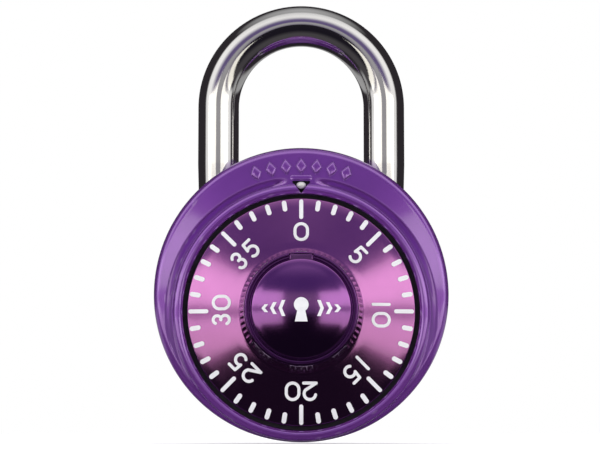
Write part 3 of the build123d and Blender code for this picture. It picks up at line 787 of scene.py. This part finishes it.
floor_material, nodes, links, shader = new_material("floor_pale")
mottle = noise(nodes, links, 6, 2)
links.new(ramp(nodes, links, mottle, [(0.3, (0.90, 0.90, 0.90)), (0.7, (0.93, 0.93, 0.93))]),
          shader.inputs["Base Color"])
shader.inputs["Roughness"].default_value = 0.9
shader.inputs["Emission Color"].default_value = (1, 1, 1, 1)
shader.inputs["Emission Strength"].default_value = 0.35
bm = bmesh.new()
bmesh.ops.create_circle(bm, cap_ends=True, radius=FLOOR_R, segments=96)
floor = add_piece("floor", bm, None)
floor.location = (0, 0, low[Z] - FLOOR_GAP)
floor.data.materials.append(floor_material)
floor.visible_glossy = False


# ---------------------------------------------------------------- room
def grey(level):
    """Neutral colour."""
    return (level, level, level)


# A ramp's places run from 0, straight down, through 0.5, the horizon, to 1, straight up.
DARK = (0.012, 0.010, 0.016)
DIM = (0.030, 0.026, 0.030)
VIOLET_SHADE = (0.135, 0.10, 0.23)
SOFT_GREY = (0.38, 0.37, 0.38)
PANEL_WHITE = (1.05, 1.04, 1.02)
FRONT_STOPS = [
    (0.0, DARK), (0.492, DARK), (0.502, (0.19, 0.17, 0.23)), (0.56, SOFT_GREY), (0.61, SOFT_GREY),
    (0.64, VIOLET_SHADE), (0.71, VIOLET_SHADE), (0.76, (0.29, 0.26, 0.37)), (0.84, (0.72, 0.71, 0.72)),
    (1.0, grey(0.60)),
]
BESIDE_STOPS = [
    (0.0, (0.07, 0.065, 0.07)), (0.46, (0.06, 0.055, 0.06)), (0.50, (0.90, 0.89, 0.88)),
    (0.70, PANEL_WHITE), (0.86, PANEL_WHITE), (1.0, grey(0.7)),
]
REAR_STOPS = [
    (0.0, DARK), (0.30, DIM), (0.36, grey(0.36)), (0.47, grey(0.40)), (0.50, DIM), (0.90, DIM),
    (0.95, grey(0.25)), (1.0, grey(0.45)),
]
DIFFUSE_FILL = (0.80, 0.80, 0.82)
BACKDROP = grey(1.0)

world = bpy.data.worlds.new("studio")
scene.world = world
world.use_nodes = True
nodes, links = world.node_tree.nodes, world.node_tree.links
background = nodes["Background"]
direction = nodes.new("ShaderNodeTexCoord")
split = nodes.new("ShaderNodeSeparateXYZ")
links.new(direction.outputs["Generated"], split.inputs["Vector"])
height = to_range(nodes, links, split.outputs["Z"], 0, 1, from_low=-1, from_high=1)
front, beside, rear = (ramp(nodes, links, height, stops) for stops in (FRONT_STOPS, BESIDE_STOPS, REAR_STOPS))
# White panels stand beside the lock, and the dim room behind it gives bright metal its dark edges.
sideways = to_range(nodes, links, split.outputs["Y"], 0, 1, from_low=-0.84, from_high=-0.62)
behind = to_range(nodes, links, split.outputs["Y"], 0, 1, from_low=-0.34, from_high=-0.20)
surround = mix(nodes, links, behind, mix(nodes, links, sideways, front, beside), rear)
light_path = nodes.new("ShaderNodeLightPath")
filled = mix(nodes, links, light_path.outputs["Is Diffuse Ray"], surround, DIFFUSE_FILL)
links.new(mix(nodes, links, light_path.outputs["Is Camera Ray"], filled, BACKDROP),
          background.inputs["Color"])
background.inputs["Strength"].default_value = 1.0

# ---------------------------------------------------------------- lights
WARM = (1.0, 0.97, 0.86)
BOX_X, BOX_Y, BOX_WIDTH = 0.70, -1.03, 0.98
UPPER_Z, UPPER_HEIGHT, UPPER_WATTS = 0.225, 0.24, 0.84
LOWER_Z, LOWER_HEIGHT, LOWER_WATTS = -0.066, 0.20, 0.68
TOP_PLACE, TOP_SIZE, TOP_WATTS = (0, -0.30, 1.2), (1.2, 0.5), 2.5


def softbox(name, place, size, watts, colour=(1, 1, 1)):
    """Rectangular area light, aimed at the lock, that the camera doesn't see."""
    data = bpy.data.lights.new(name, "AREA")
    data.shape = "RECTANGLE"
    data.size, data.size_y = size
    data.energy = watts
    data.color = colour
    light = bpy.data.objects.new(name, data)
    bpy.context.collection.objects.link(light)
    light.location = place
    light.rotation_euler = (centre - Vector(place)).to_track_quat("-Z", "Y").to_euler()
    light.visible_camera = False
    return light


for side in (-1, 1):
    softbox(f"upper_{side}", (side * BOX_X, BOX_Y, UPPER_Z), (BOX_WIDTH, UPPER_HEIGHT), UPPER_WATTS, WARM)
    softbox(f"lower_{side}", (side * BOX_X, BOX_Y, LOWER_Z), (BOX_WIDTH, LOWER_HEIGHT), LOWER_WATTS, WARM)
softbox("top", TOP_PLACE, TOP_SIZE, TOP_WATTS).visible_glossy = False

# ---------------------------------------------------------------- camera
# It stands low and close, just above the floor, and looks up a little.
LENS_DISTANCE = 0.32
LENS_LENGTH_MM = 118.66
SENSOR_WIDTH_MM = 36
AIM = Vector((-0.0002, -0.0176, 0.01117))
LENS_Z = -0.0224

camera_data = bpy.data.cameras.new("camera")
camera_data.sensor_width = SENSOR_WIDTH_MM
camera_data.lens = LENS_LENGTH_MM
camera_data.clip_start = 0.01
camera = bpy.data.objects.new("camera", camera_data)
bpy.context.collection.objects.link(camera)
camera.location = (0, AIM[Y] - LENS_DISTANCE, LENS_Z)
camera.rotation_euler = (AIM - camera.location).to_track_quat("-Z", "Y").to_euler()
scene.camera = camera
